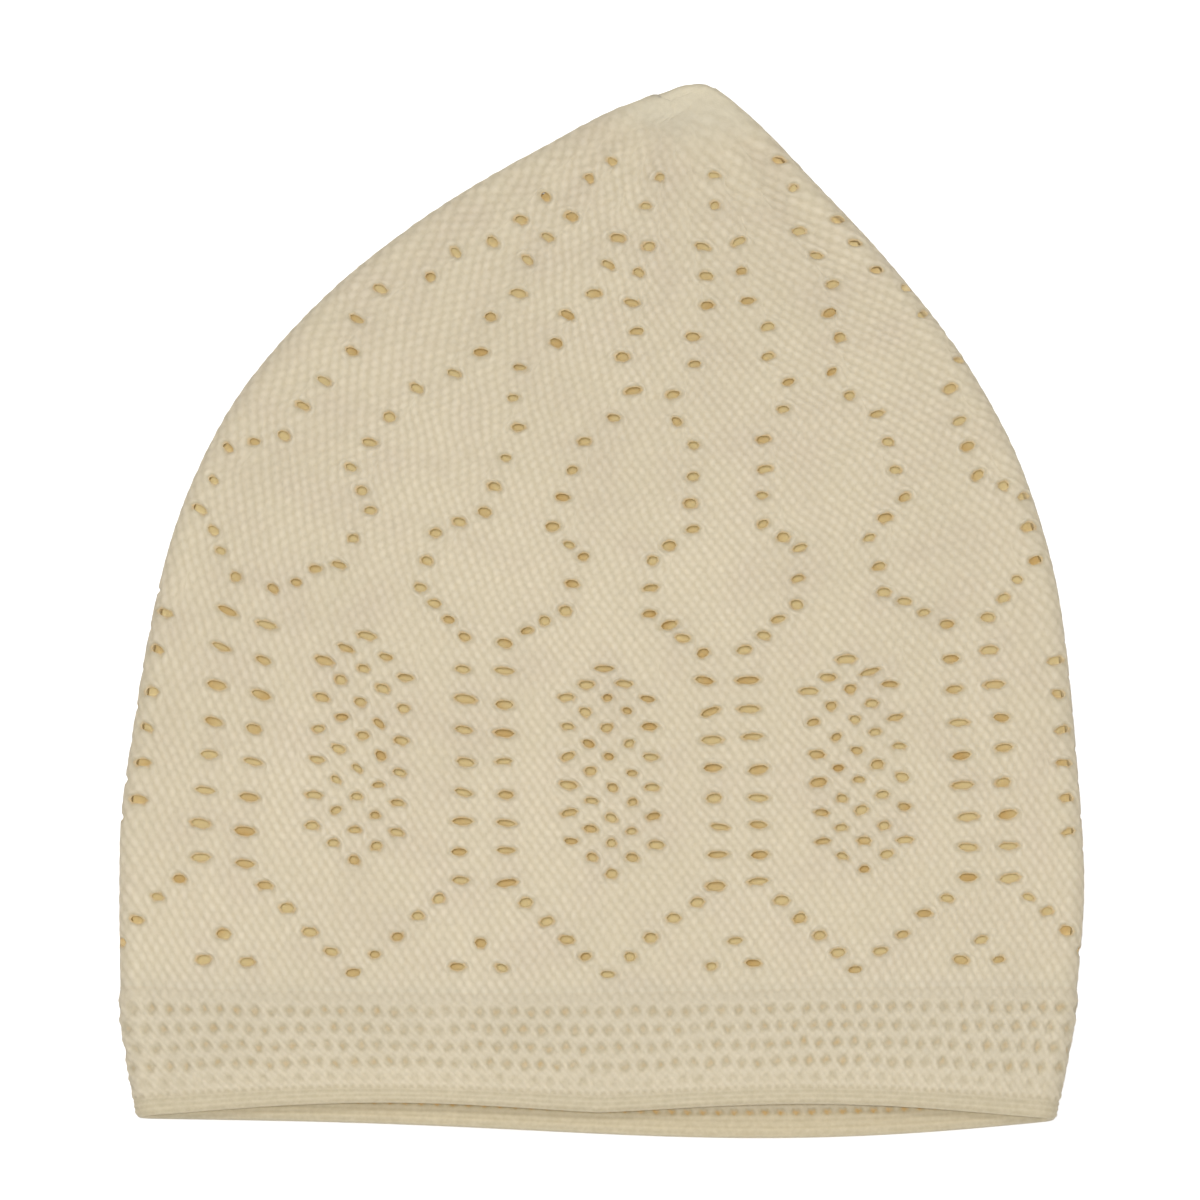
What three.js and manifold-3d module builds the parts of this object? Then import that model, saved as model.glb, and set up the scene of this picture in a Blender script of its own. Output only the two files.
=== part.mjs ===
// An openwork kufi: a brimless cap knitted in the round, stored lying folded flat.
//
// Millimetres. +Z is up and the back of the cap lies on Z = 0. +Y runs from the open mouth to the
// closed peak and +X is to the right of the folded cap, seen from above.
//
// The knitting is followed by two coordinates. "Unit" counts round the cap: 12 units make one
// repeat of the pattern and 8 repeats go round. "Row" counts down the cap in rows of eyelets,
// about 7 mm apart, from the closing at the peak to the hem at the mouth.

import * as THREE from "three";
import Module from "manifold-3d";

const wasm = await Module();
wasm.setup();

// Driving dimensions of the fabric.
const KNIT_WALL = 1.6;
const BAND_WALL = 2.6;
const PIECE_GAP = 0.3;
const ROW_HEIGHT = 6.8;
const EYELET_WIDTH = 2.6;
const EYELET_HEIGHT = 2.0;

// The pattern round the cap.
const REPEATS = 8;
const UNITS_PER_REPEAT = 12;
const UNITS_ROUND = REPEATS * UNITS_PER_REPEAT;

// Where the pieces start and end, in rows.
const HEM_ROW = 14.5;
const BAND_TOP_ROW = 10.6;
const HOLLOW_TOP_ROW = -18.6;
const LAST_RING_ROW = -20.12;

// The folded shape: one line for each row that is set, from the peak to the hem.
//   leftX, leftY, rightX, rightY   the two folds
//   midX, midY                     the middle of the front layer
//   backRise                       how much higher up the cap the back layer's middle is
//   leftFold, rightFold            the units that lie on the folds
//   loft                           height of the front layer's middle above the table
//   turn, foldHeight               radius of the folds, and the height they are at
const SECTION_COLUMNS = [
  "row", "leftX", "leftY", "midX", "midY", "rightX", "rightY",
  "backRise", "leftFold", "rightFold", "loft", "turn", "foldHeight",
];
const SECTIONS = [
  [-20.3, 15.8, 112.6, 15.8, 112.6, 15.8, 112.6, 0.0, -16.0, 34.3, 6.4, 0.1, 6.4],
  [-19.8, 9.9, 112.4, 15.8, 109.0, 24.1, 115.4, 5.6, -16.0, 34.3, 7.6, 1.3, 5.5],
  [-19.0, 4.9, 110.6, 15.5, 103.6, 32.3, 109.4, 4.6, -16.0, 34.3, 8.2, 2.0, 4.8],
  [-17.0, -8.9, 104.0, 13.9, 89.1, 45.9, 95.2, 3.8, -15.5, 34.2, 9.5, 2.4, 4.4],
  [-13.0, -37.1, 87.2, 9.7, 61.4, 66.4, 72.1, 1.8, -14.2, 34.1, 12.0, 2.8, 4.0],
  [-9.0, -62.9, 65.8, 5.6, 35.9, 81.1, 51.6, 0.5, -12.6, 34.5, 14.0, 3.0, 3.8],
  [-5.0, -82.4, 40.6, 2.9, 11.8, 92.5, 28.1, 0.3, -11.6, 34.9, 15.0, 3.0, 3.8],
  [-1.0, -93.9, 12.1, 0.7, -12.2, 99.7, 0.1, 0.3, -10.9, 34.9, 15.0, 3.0, 3.8],
  [3.0, -100.3, -21.9, 1.9, -37.9, 102.7, -30.9, 0.3, -11.0, 34.9, 15.0, 3.0, 3.8],
  [7.0, -103.7, -53.9, 2.4, -62.8, 104.2, -59.9, 0.3, -11.0, 35.0, 14.5, 3.0, 3.8],
  [10.6, -103.7, -83.9, 0.4, -86.2, 102.9, -84.2, 0.0, -11.4, 35.1, 13.5, 3.0, 4.3],
  [14.5, -98.9, -112.1, -0.1, -111.8, 96.9, -112.7, -3.7, -11.5, 35.2, 11.5, 3.0, 4.3],
].map((line) => Object.fromEntries(SECTION_COLUMNS.map((name, i) => [name, line[i]])));

// The courses sag more steeply on the left of the cap than on the right.
const SIDE_SKEW = 16;
// The front hem rises in two low arches, one on each side of its middle.
const HEM_ARCH_RISE = 2.0;
const HEM_ARCH_LIFT = 2.0;
// The courses straighten and the arches grow from this row down to the hem.
const HEM_EFFECT_ROW = 9;
// How full the front layer is between its folds.
const LOFT_FULLNESS = 0.8;
// The knitting is drawn in at the closing, which leaves a small dimple.
const CLOSING_DIMPLE = 0.7;

// Slope of column `name` at section i, kept flat at a turning point so nothing overshoots.
function slopeAt(name, i) {
  const step = (k) => SECTIONS[k + 1].row - SECTIONS[k].row;
  const rise = (k) => (SECTIONS[k + 1][name] - SECTIONS[k][name]) / step(k);
  if (i === 0) return rise(0);
  if (i === SECTIONS.length - 1) return rise(i - 1);
  const before = rise(i - 1);
  const after = rise(i);
  if (before * after <= 0) return 0;
  const weightBefore = 2 * step(i) + step(i - 1);
  const weightAfter = step(i) + 2 * step(i - 1);
  return (weightBefore + weightAfter) / (weightBefore / before + weightAfter / after);
}

const SLOPES = SECTIONS.map((_, i) =>
  Object.fromEntries(SECTION_COLUMNS.map((name) => [name, slopeAt(name, i)])),
);

// The section at any row, by cubic curves through the lines above.
function sectionAt(row) {
  let i = 0;
  while (i < SECTIONS.length - 2 && row > SECTIONS[i + 1].row) i += 1;
  const span = SECTIONS[i + 1].row - SECTIONS[i].row;
  const t = (row - SECTIONS[i].row) / span;
  const section = {};
  for (const name of SECTION_COLUMNS) {
    section[name] =
      (1 + 2 * t) * (1 - t) ** 2 * SECTIONS[i][name] +
      t * (1 - t) ** 2 * span * SLOPES[i][name] +
      t * t * (3 - 2 * t) * SECTIONS[i + 1][name] +
      t * t * (t - 1) * span * SLOPES[i + 1][name];
  }
  section.row = row;
  section.width = Math.hypot(section.rightX - section.leftX, section.rightY - section.leftY);
  section.turn = Math.min(section.turn, section.width / 6);
  section.turnLength = (Math.PI / 2) * section.turn;
  section.halfRound = section.width + 2 * (section.turnLength - section.turn);
  return section;
}

// A point in the middle of the fabric's thickness. `along` runs from 0 at the left fold to 1 at
// the right fold over the front layer, and on from 1 to 2 back to the left fold over the back.
function fabricPoint(section, along) {
  const loop = ((along % 2) + 2) % 2;
  const front = loop <= 1;
  const share = front ? loop : 2 - loop;
  const fromFold = Math.min(share, 1 - share) * section.halfRound;
  const angle = Math.min(fromFold / section.turn, Math.PI / 2);
  const inwards = section.turn * (1 - Math.cos(angle)) + Math.max(0, fromFold - section.turnLength);
  const across = share < 0.5 ? inwards / section.width : 1 - inwards / section.width;
  const bulge = Math.max(0, 4 * across * (1 - across));

  const middleY = section.midY + (front ? 0 : section.backRise);
  const left = 2 * (across - 0.5) * (across - 1);
  const middle = 4 * across * (1 - across);
  const right = 2 * across * (across - 0.5);
  const x = left * section.leftX + middle * section.midX + right * section.rightX;
  let y = left * section.leftY + middle * middleY + right * section.rightY;
  const nearHem = Math.max(0, (section.row - HEM_EFFECT_ROW) / (HEM_ROW - HEM_EFFECT_ROW));
  y -= SIDE_SKEW * (1 - nearHem) * across * (1 - across) * (0.5 - across);
  let z = section.foldHeight + (front ? 1 : -1) * section.turn * Math.sin(angle);
  if (front) {
    z += (section.loft - section.foldHeight - section.turn) * bulge ** LOFT_FULLNESS;
    const arches = ((1 - Math.cos(4 * Math.PI * across)) / 2) ** 0.6 * nearHem ** 2;
    y += HEM_ARCH_RISE * arches;
    z += HEM_ARCH_LIFT * arches;
  }
  return new THREE.Vector3(x, y, z);
}

// The fabric's outward direction, with the directions round the cap and down it.
function fabricFrame(row, along) {
  const small = 1e-3;
  const section = sectionAt(row);
  const round = fabricPoint(section, along + small).sub(fabricPoint(section, along - small)).normalize();
  const above = fabricPoint(sectionAt(row - small), along);
  const down = fabricPoint(sectionAt(row + small), along).sub(above).normalize();
  const out = new THREE.Vector3().crossVectors(down, round).normalize();
  return { point: fabricPoint(section, along), round, out };
}

// Where unit `unit` of row `row` is along its loop.
function alongOf(unit, row) {
  const section = sectionAt(row);
  const fromFold = (((unit - section.leftFold) % UNITS_ROUND) + UNITS_ROUND) % UNITS_ROUND;
  const frontUnits = section.rightFold - section.leftFold;
  if (fromFold <= frontUnits) return fromFold / frontUnits;
  return 1 + (fromFold - frontUnits) / (UNITS_ROUND - frontUnits);
}

// Mesh columns round one loop: two in each quarter turn of a fold, the rest across a layer.
const COLUMNS_ACROSS = 22;
function loopStations(section) {
  const turn = section.turnLength / section.halfRound;
  const layer = [0, turn / 2];
  for (let i = 0; i <= COLUMNS_ACROSS; i += 1) {
    layer.push(turn + ((1 - 2 * turn) * i) / COLUMNS_ACROSS);
  }
  layer.push(1 - turn / 2);
  return [...layer, ...layer.map((along) => along + 1)];
}

// One ring of points on a face of the fabric, `offset` outwards from the middle of its wall.
function ring(row, offset) {
  return loopStations(sectionAt(row)).map((along) => {
    const { point, out } = fabricFrame(row, along);
    point.addScaledVector(out, offset);
    point.z = Math.max(0, point.z);
    return point;
  });
}

// A closed skin through rings that follow each other round the wall's section. An end that is
// not open is closed on a point; otherwise the last ring joins the first.
function skin(rings, ends = null) {
  const count = rings[0].length;
  const points = rings.flat();
  const faces = [];
  const at = (r, i) => (r % rings.length) * count + (i % count);
  const steps = ends ? rings.length - 1 : rings.length;
  for (let r = 0; r < steps; r += 1) {
    for (let i = 0; i < count; i += 1) {
      faces.push(at(r, i), at(r + 1, i + 1), at(r + 1, i));
      faces.push(at(r, i), at(r, i + 1), at(r + 1, i + 1));
    }
  }
  if (ends) {
    const first = points.push(ends[0]) - 1;
    const last = points.push(ends[1]) - 1;
    for (let i = 0; i < count; i += 1) {
      faces.push(first, at(0, i + 1), at(0, i));
      faces.push(last, at(rings.length - 1, i), at(rings.length - 1, i + 1));
    }
  }
  const geometry = new THREE.BufferGeometry().setFromPoints(points);
  geometry.setIndex(faces);
  return geometry;
}

function solidOf(geometry) {
  return new wasm.Manifold(
    new wasm.Mesh({
      numProp: 3,
      vertProperties: geometry.getAttribute("position").array,
      triVerts: new Uint32Array(geometry.index.array),
    }),
  );
}

function geometryOf(solid) {
  const mesh = solid.getMesh();
  const geometry = new THREE.BufferGeometry();
  geometry.setAttribute("position", new THREE.BufferAttribute(mesh.vertProperties, 3));
  geometry.setIndex(new THREE.BufferAttribute(mesh.triVerts, 1));
  geometry.computeVertexNormals();
  return geometry;
}

function rowsBetween(from, to, steps) {
  return Array.from({ length: steps + 1 }, (_, i) => from + ((to - from) * i) / steps);
}

// The eyelets that are cut through, charted for one repeat. "unit" is counted from the middle
// of the diamond panel; the twin columns and the vase outline stand half a repeat from it.
const HALF_REPEAT = UNITS_PER_REPEAT / 2;
function eyeletChart() {
  const eyelets = [];
  const pair = (offset, row) => {
    eyelets.push({ unit: HALF_REPEAT - offset, row }, { unit: HALF_REPEAT + offset, row });
  };
  for (const row of [0, 2, 4, 6]) pair(1, row);
  for (const row of [1.5, 4.5]) eyelets.push({ unit: 0, row });
  for (const unit of [-1, 1]) eyelets.push({ unit, row: 3 });
  pair(4, -3.5);
  eyelets.push({ unit: 0, row: 10 });
  return eyelets;
}

// A short six-sided plug through the wall at one eyelet, longer than the wall is thick.
function eyeletPlug(unit, row) {
  const { point, round, out } = fabricFrame(row, alongOf(unit, row));
  const length = KNIT_WALL + 1.2;
  const plug = new THREE.CylinderGeometry(0.5, 0.5, length, 6, 1);
  plug.scale(EYELET_WIDTH, 1, EYELET_HEIGHT);
  const up = new THREE.Vector3().crossVectors(round, out);
  plug.applyMatrix4(new THREE.Matrix4().makeBasis(round, out, up).setPosition(point));
  return solidOf(welded(plug));
}

// The same geometry with each corner held once.
function welded(geometry) {
  const position = geometry.getAttribute("position");
  const points = [];
  const seen = new Map();
  const number = [];
  for (let i = 0; i < position.count; i += 1) {
    const point = new THREE.Vector3().fromBufferAttribute(position, i);
    const key = point.toArray().map((value) => value.toFixed(4)).join();
    if (!seen.has(key)) seen.set(key, points.push(point) - 1);
    number.push(seen.get(key));
  }
  const merged = new THREE.BufferGeometry().setFromPoints(points);
  const faces = [];
  for (let i = 0; i < geometry.index.count; i += 3) {
    const [a, b, c] = [0, 1, 2].map((k) => number[geometry.index.getX(i + k)]);
    if (a !== b && b !== c && c !== a) faces.push(a, b, c);
  }
  merged.setIndex(faces);
  return merged;
}

// The knitted body: open at the band, closed at the peak, with eyelets cut through its wall.
function crownBody() {
  const bottomRow = BAND_TOP_ROW - PIECE_GAP / 2 / ROW_HEIGHT;
  const half = KNIT_WALL / 2;
  const inside = rowsBetween(HOLLOW_TOP_ROW, bottomRow, 18).map((row) => ring(row, -half));
  const outside = [
    ...rowsBetween(bottomRow, HOLLOW_TOP_ROW, 19),
    ...rowsBetween(HOLLOW_TOP_ROW, LAST_RING_ROW, 3).slice(1),
  ].map((row) => ring(row, half));
  const roof = inside[0].reduce((sum, p) => sum.add(p), new THREE.Vector3()).divideScalar(inside[0].length);
  const top = SECTIONS[0];
  const closing = new THREE.Vector3(top.midX, top.midY, top.foldHeight + half - CLOSING_DIMPLE);
  let body = solidOf(skin([...inside, ...outside], [roof, closing]));
  for (let repeat = 0; repeat < REPEATS; repeat += 1) {
    for (const { unit, row } of eyeletChart()) {
      body = body.subtract(eyeletPlug(unit + repeat * UNITS_PER_REPEAT, row));
    }
  }
  return geometryOf(body);
}

// The hem band: a double welt of mesh knit, with a rounded turned edge at the mouth.
function hemBand() {
  const topRow = BAND_TOP_ROW + PIECE_GAP / 2 / ROW_HEIGHT;
  const half = BAND_WALL / 2;
  const roundRow = HEM_ROW - half / ROW_HEIGHT;
  const midRoundRow = HEM_ROW - (0.3 * half) / ROW_HEIGHT;
  const walls = rowsBetween(topRow, roundRow, 3);
  const outside = [...walls.map((row) => ring(row, half)), ring(midRoundRow, 0.71 * half), ring(HEM_ROW, 0)];
  const inside = [...walls.map((row) => ring(row, -half)), ring(midRoundRow, -0.71 * half)];
  return skin([...inside, ...outside.reverse()]);
}

const knit = new THREE.MeshStandardMaterial({ color: 0xe4dac0, roughness: 0.95, metalness: 0 });
const meshKnit = new THREE.MeshStandardMaterial({ color: 0xe0d5b8, roughness: 0.95, metalness: 0 });

const kufi = new THREE.Group();
kufi.name = "kufi";

const crown = new THREE.Mesh(crownBody(), knit);
crown.name = "crown_body";
kufi.add(crown);

const band = new THREE.Mesh(hemBand(), meshKnit);
band.name = "hem_band";
kufi.add(band);

export default kufi;
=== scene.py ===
"""Looks of an openwork kufi, a knitted cap that lies folded flat with its mouth a little open.

The knitting is followed by two coordinates, as in the solid model: "unit" counts round the cap,
12 units to a repeat of the pattern, and "row" counts down it, about 7 mm each, from the closing
at the peak to the hem at the mouth. Lengths are in millimetres until a mesh is made.
"""

import math

import bpy
import numpy as np
from mathutils import Matrix, Vector


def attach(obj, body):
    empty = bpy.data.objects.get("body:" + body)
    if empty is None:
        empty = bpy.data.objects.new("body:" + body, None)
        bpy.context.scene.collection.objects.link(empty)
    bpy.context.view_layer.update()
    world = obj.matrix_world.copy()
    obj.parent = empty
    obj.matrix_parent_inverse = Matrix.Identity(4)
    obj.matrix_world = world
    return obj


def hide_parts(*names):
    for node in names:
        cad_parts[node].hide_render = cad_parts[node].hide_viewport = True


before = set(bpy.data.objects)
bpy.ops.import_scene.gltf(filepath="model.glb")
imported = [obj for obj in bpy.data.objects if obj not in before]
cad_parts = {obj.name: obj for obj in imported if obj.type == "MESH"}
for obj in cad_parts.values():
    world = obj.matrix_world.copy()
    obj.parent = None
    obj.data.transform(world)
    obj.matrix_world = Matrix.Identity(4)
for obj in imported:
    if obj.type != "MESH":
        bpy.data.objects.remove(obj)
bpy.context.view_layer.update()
rng = np.random.default_rng(7)

MM = 0.001
# The lowest that the body's outer face comes to the floor, in millimetres.
FLOOR_GAP = 0.05

# Driving dimensions of the fabric, in millimetres.
KNIT_WALL = 1.6
BAND_WALL = 2.6
WALE = 2.2
COURSE = 1.7
ROW_HEIGHT = 7.0

# The pattern round the cap.
REPEATS = 8
UNITS_PER_REPEAT = 12
UNITS_ROUND = REPEATS * UNITS_PER_REPEAT
HALF_REPEAT = UNITS_PER_REPEAT / 2

# Where the pieces start and end, in rows.
HEM_ROW = 14.5
BAND_TOP_ROW = 10.6
HOLLOW_TOP_ROW = -18.6
LAST_RING_ROW = -20.2

# The folded shape: one line for each row that is set, from the peak to the hem.
SECTION_COLUMNS = (
    "row leftX leftY midX midY rightX rightY backRise leftFold rightFold loft turn foldHeight"
).split()
SECTIONS = np.array([
    [-20.3, 15.8, 112.6, 15.8, 112.6, 15.8, 112.6, 0.0, -16.0, 34.3, 6.05, 0.04, 6.0],
    [-19.8, 11.8, 113.6, 16.4, 109.2, 24.1, 115.6, 5.3, -16.0, 34.3, 6.0, 0.04, 5.95],
    [-19.6, 8.8, 112.4, 14.9, 107.4, 26.2, 114.3, 7.2, -16.0, 34.3, 6.4, 0.5, 5.8],
    [-19.0, 4.6, 111.0, 15.5, 103.6, 32.3, 109.4, 5.0, -16.0, 34.3, 7.6, 1.6, 4.9],
    [-17.0, -8.9, 104.0, 13.9, 89.1, 45.9, 95.2, 3.8, -15.5, 34.2, 9.5, 2.4, 4.4],
    [-13.0, -37.1, 87.2, 9.7, 61.4, 66.4, 72.1, 1.8, -14.2, 34.1, 12.0, 2.8, 4.0],
    [-9.0, -62.9, 65.8, 5.6, 35.9, 81.1, 51.6, 0.5, -12.6, 34.5, 14.0, 3.0, 3.8],
    [-5.0, -82.4, 40.6, 2.9, 11.8, 92.5, 28.1, 0.3, -11.6, 34.9, 15.0, 3.0, 3.8],
    [-1.0, -93.9, 12.1, 0.7, -12.2, 99.7, 0.1, 0.3, -10.9, 34.9, 15.0, 3.0, 3.8],
    [3.0, -100.3, -21.9, 1.9, -37.9, 102.7, -30.9, 0.3, -11.0, 34.9, 15.0, 3.0, 3.8],
    [7.0, -103.7, -53.9, 2.4, -62.8, 104.2, -59.9, 0.3, -11.0, 35.0, 14.5, 3.0, 3.8],
    [10.6, -103.1, -83.9, 0.4, -86.2, 102.3, -84.2, 0.0, -11.4, 35.1, 13.5, 3.0, 4.3],
    [14.5, -98.9, -112.1, -0.1, -111.8, 96.9, -112.7, -3.7, -11.5, 35.2, 11.5, 3.0, 4.3],
])
LOFT_FULLNESS = 0.8
# How far the rows swing to either side of their parabola, above the hem.
SIDE_SKEW = 16
# From this row on, the front rises in two arches and the back swings and lifts, up to these
# amounts at the hem.
HEM_EFFECT_ROW = 9
HEM_ARCH_RISE = 2.0
HEM_ARCH_LIFT = 2.0
HEM_ARCH_FULLNESS = 0.6
HEM_BACK_SWAY = 1.35
HEM_BACK_LIFT = 2.2
# Above this row the closing turns, over a short way, into a small disc that faces up.
CLOSING_EDGE_ROW = -19.85
CLOSING_TURN_ROWS = 0.15
CLOSING_DIMPLE = 0.1
UP = np.array([0.0, 0.0, 1.0])


# -------- the folded shape

def eased(value):
    """The value held between 0 and 1, with a soft start and end."""
    share = np.clip(value, 0, 1)
    return share * share * (3 - 2 * share)


def column_slopes():
    """Slope of each column at each section, flat at a turning point so nothing overshoots."""
    step = np.diff(SECTIONS[:, 0])
    rise = np.diff(SECTIONS, axis=0) / step[:, None]
    before, after = rise[:-1], rise[1:]
    turning = before * after <= 0
    weight_before = (2 * step[1:] + step[:-1])[:, None]
    weight_after = (step[1:] + 2 * step[:-1])[:, None]
    before, after = np.where(turning, 1, before), np.where(turning, 1, after)
    share = weight_before / before + weight_after / after
    inner = np.where(turning, 0, (weight_before + weight_after) / np.where(turning, 1, share))
    return np.vstack([rise[:1], inner, rise[-1:]])


SLOPES = column_slopes()


def section_at(row):
    """The columns at an array of rows, by cubic curves through the table's lines."""
    i = np.clip(np.searchsorted(SECTIONS[:, 0], row, side="right") - 1, 0, len(SECTIONS) - 2)
    span = SECTIONS[i + 1, 0] - SECTIONS[i, 0]
    t = (row - SECTIONS[i, 0]) / span
    parts = (
        ((1 + 2 * t) * (1 - t) ** 2, SECTIONS, i),
        (t * (1 - t) ** 2 * span, SLOPES, i),
        (t * t * (3 - 2 * t), SECTIONS, i + 1),
        (t * t * (t - 1) * span, SLOPES, i + 1),
    )
    s = {}
    for column, name in enumerate(SECTION_COLUMNS):
        s[name] = sum(weight * table[at, column] for weight, table, at in parts)
    s["width"] = np.hypot(s["rightX"] - s["leftX"], s["rightY"] - s["leftY"])
    s["turn"] = np.minimum(s["turn"], s["width"] / 6)
    s["turnLength"] = math.pi / 2 * s["turn"]
    s["halfRound"] = s["width"] + 2 * (s["turnLength"] - s["turn"])
    return s


def along_of(unit, row):
    """Place along the loop: 0 to 1 over the front from the left fold, 1 to 2 back over the back."""
    s = section_at(row)
    from_fold = np.mod(unit - s["leftFold"], UNITS_ROUND)
    front_units = s["rightFold"] - s["leftFold"]
    over_back = 1 + (from_fold - front_units) / (UNITS_ROUND - front_units)
    return np.where(from_fold <= front_units, from_fold / front_units, over_back)


def fabric_point(row, along):
    """Points in the middle of the fabric's thickness, as an array of x, y, z."""
    s = section_at(row)
    loop = np.mod(along, 2)
    front = loop <= 1
    share = np.where(front, loop, 2 - loop)
    # A quarter turn leads from each fold into the flat of the front or the back.
    from_fold = np.minimum(share, 1 - share) * s["halfRound"]
    angle = np.minimum(from_fold / s["turn"], math.pi / 2)
    inwards = s["turn"] * (1 - np.cos(angle)) + np.maximum(0, from_fold - s["turnLength"])
    across = np.where(share < 0.5, inwards / s["width"], 1 - inwards / s["width"])
    bulge = np.maximum(0, 4 * across * (1 - across))

    # The row runs across on a parabola through its left, middle and right points.
    middle_y = s["midY"] + np.where(front, 0, s["backRise"])
    left = 2 * (across - 0.5) * (across - 1)
    middle = 4 * across * (1 - across)
    right = 2 * across * (across - 0.5)
    x = left * s["leftX"] + middle * s["midX"] + right * s["rightX"]
    y = left * s["leftY"] + middle * middle_y + right * s["rightY"]
    near_hem = np.maximum(0, (row - HEM_EFFECT_ROW) / (HEM_ROW - HEM_EFFECT_ROW))
    y = y - SIDE_SKEW * (1 - near_hem) * across * (1 - across) * (0.5 - across)
    z = s["foldHeight"] + np.where(front, 1, -1) * s["turn"] * np.sin(angle)
    z = z + np.where(front, (s["loft"] - s["foldHeight"] - s["turn"]) * bulge ** LOFT_FULLNESS, 0)
    arches = ((1 - np.cos(4 * math.pi * across)) / 2) ** HEM_ARCH_FULLNESS * near_hem ** 2
    sway = np.sin(2 * math.pi * across) * near_hem ** 2
    y = y + np.where(front, HEM_ARCH_RISE * arches, HEM_BACK_SWAY * sway)
    lift = HEM_BACK_LIFT * np.sqrt(bulge) * near_hem ** 4
    z = z + np.where(front, HEM_ARCH_LIFT * arches, lift)
    return np.stack([x, y, z], axis=-1)


def unit_vectors(vectors):
    return vectors / np.maximum(np.linalg.norm(vectors, axis=-1, keepdims=True), 1e-12)


def fabric_frame(unit, row):
    """Points of the fabric's middle and its outward directions."""
    small = 1e-3
    along = along_of(unit, row)
    round_way = fabric_point(row, along + small) - fabric_point(row, along - small)
    down = fabric_point(row + small, along) - fabric_point(row - small, along)
    out = unit_vectors(np.cross(down, round_way))
    turned_up = np.clip((CLOSING_EDGE_ROW - row) / CLOSING_TURN_ROWS, 0, 1)[..., None]
    out = out + (UP - out) * turned_up
    return fabric_point(row, along), unit_vectors(out)


def fabric_scale(unit, row):
    """Millimetres to a unit round the cap, and to a row down it, at one place."""
    small = 0.05
    units = np.array([unit - small, unit + small, unit, unit])
    rows = np.array([row, row, row - small, row + small])
    p = fabric_point(rows, along_of(units, rows))
    return np.linalg.norm(p[1] - p[0]) / (2 * small), np.linalg.norm(p[3] - p[2]) / (2 * small)


# -------- meshes from numbered faces

class Skin:
    """Vertices with their attributes and four-cornered faces; a corner used twice is a triangle."""

    def __init__(self):
        self.points, self.attributes, self.faces, self.piece = [], [], [], []
        self.count = 0

    def add_points(self, points, relief, inside):
        """Adds points and returns their numbers, in the shape of the points."""
        shape = points.shape[:-1]
        size = int(np.prod(shape))
        self.points.append(points.reshape(size, 3))
        columns = [np.broadcast_to(a, shape).reshape(size) for a in (relief, inside)]
        self.attributes.append(np.stack(columns, axis=-1))
        numbers = np.arange(self.count, self.count + size).reshape(shape)
        self.count += size
        return numbers

    def add_faces(self, corners, piece):
        corners = np.asarray(corners).reshape(-1, 4)
        self.faces.append(corners)
        self.piece.append(np.broadcast_to(piece, len(corners)))

    def finish(self):
        """Drops what is flat or unused, and works out a smooth normal at each point."""
        self.points = np.concatenate(self.points)
        self.attributes = np.concatenate(self.attributes)
        faces, piece = np.concatenate(self.faces), np.concatenate(self.piece)
        ordered = np.sort(faces, axis=1)
        distinct = 1 + (np.diff(ordered, axis=1) != 0).sum(axis=1)
        keep = distinct >= 3
        self.faces, self.piece = faces[keep], piece[keep]
        a, b, c, d = (self.points[self.faces[:, k]] for k in range(4))
        face_normals = np.cross(c - a, d - b)
        normals = np.zeros_like(self.points)
        for k in range(4):
            np.add.at(normals, self.faces[:, k], face_normals)
        self.normals = unit_vectors(normals)

    def make(self, name, piece, material, cad_node, slot):
        """One Blender object from the faces of one piece."""
        faces = self.faces[self.piece == piece]
        used, faces = np.unique(faces, return_inverse=True)
        faces = faces.reshape(-1, 4)
        repeated = faces == np.roll(faces, 1, axis=1)
        corners = faces[~repeated]
        sizes = 4 - repeated.sum(axis=1)
        mesh = bpy.data.meshes.new(name)
        mesh.vertices.add(len(used))
        mesh.vertices.foreach_set("co", (self.points[used] * MM).astype(np.float32).ravel())
        mesh.loops.add(len(corners))
        mesh.loops.foreach_set("vertex_index", corners.astype(np.int32))
        mesh.polygons.add(len(sizes))
        starts = np.concatenate([[0], np.cumsum(sizes)[:-1]])
        mesh.polygons.foreach_set("loop_start", starts.astype(np.int32))
        mesh.polygons.foreach_set("use_smooth", np.ones(len(sizes), bool))
        mesh.update(calc_edges=True)
        mesh.validate()
        for column, attribute in enumerate(("relief", "inside")):
            values = self.attributes[used, column].astype(np.float32)
            mesh.attributes.new(attribute, "FLOAT", "POINT").data.foreach_set("value", values)
        mesh.normals_split_custom_set_from_vertices(self.normals[used].astype(np.float32))
        mesh.materials.append(material)
        obj = bpy.data.objects.new(name, mesh)
        bpy.context.scene.collection.objects.link(obj)
        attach(obj, "root")
        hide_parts(cad_node)
        triangles = int((sizes - 2).sum())
        print(f"{name}: {triangles} triangles")
        return triangles


def grid_faces(numbers, flip=False):
    """Faces between the rows and columns of a grid of vertex numbers, facing out of the fabric."""
    a, b, c, d = numbers[:-1, :-1], numbers[1:, :-1], numbers[1:, 1:], numbers[:-1, 1:]
    return np.stack([a, d, c, b] if flip else [a, b, c, d], axis=-1)


def bridge_faces(fine, coarse):
    """Faces from a line of points to one with half as many steps."""
    a, b, c = fine[:-2:2], fine[1:-1:2], fine[2::2]
    start, end = coarse[:-1], coarse[1:]
    return np.concatenate([
        np.stack([a, start, start, b], axis=-1),
        np.stack([b, start, start, end], axis=-1),
        np.stack([b, end, end, c], axis=-1),
    ])


# -------- the wales of the knitting

WALES_PER_REPEAT = 24
WALES_ROUND = REPEATS * WALES_PER_REPEAT
WALES_AT_PEAK = 2
COURSES_PER_ROW = 4
MESH_ROWS_PER_ROW = 12
DECREASE_PLACES = (0.25, 0.75)
# A wale that is dropped narrows to nothing over this many rows.
NARROWING_ROWS = 1.4
# The first repeat of the mesh starts on the back of the cap, behind the left fold.
FIRST_UNIT = -18
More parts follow.
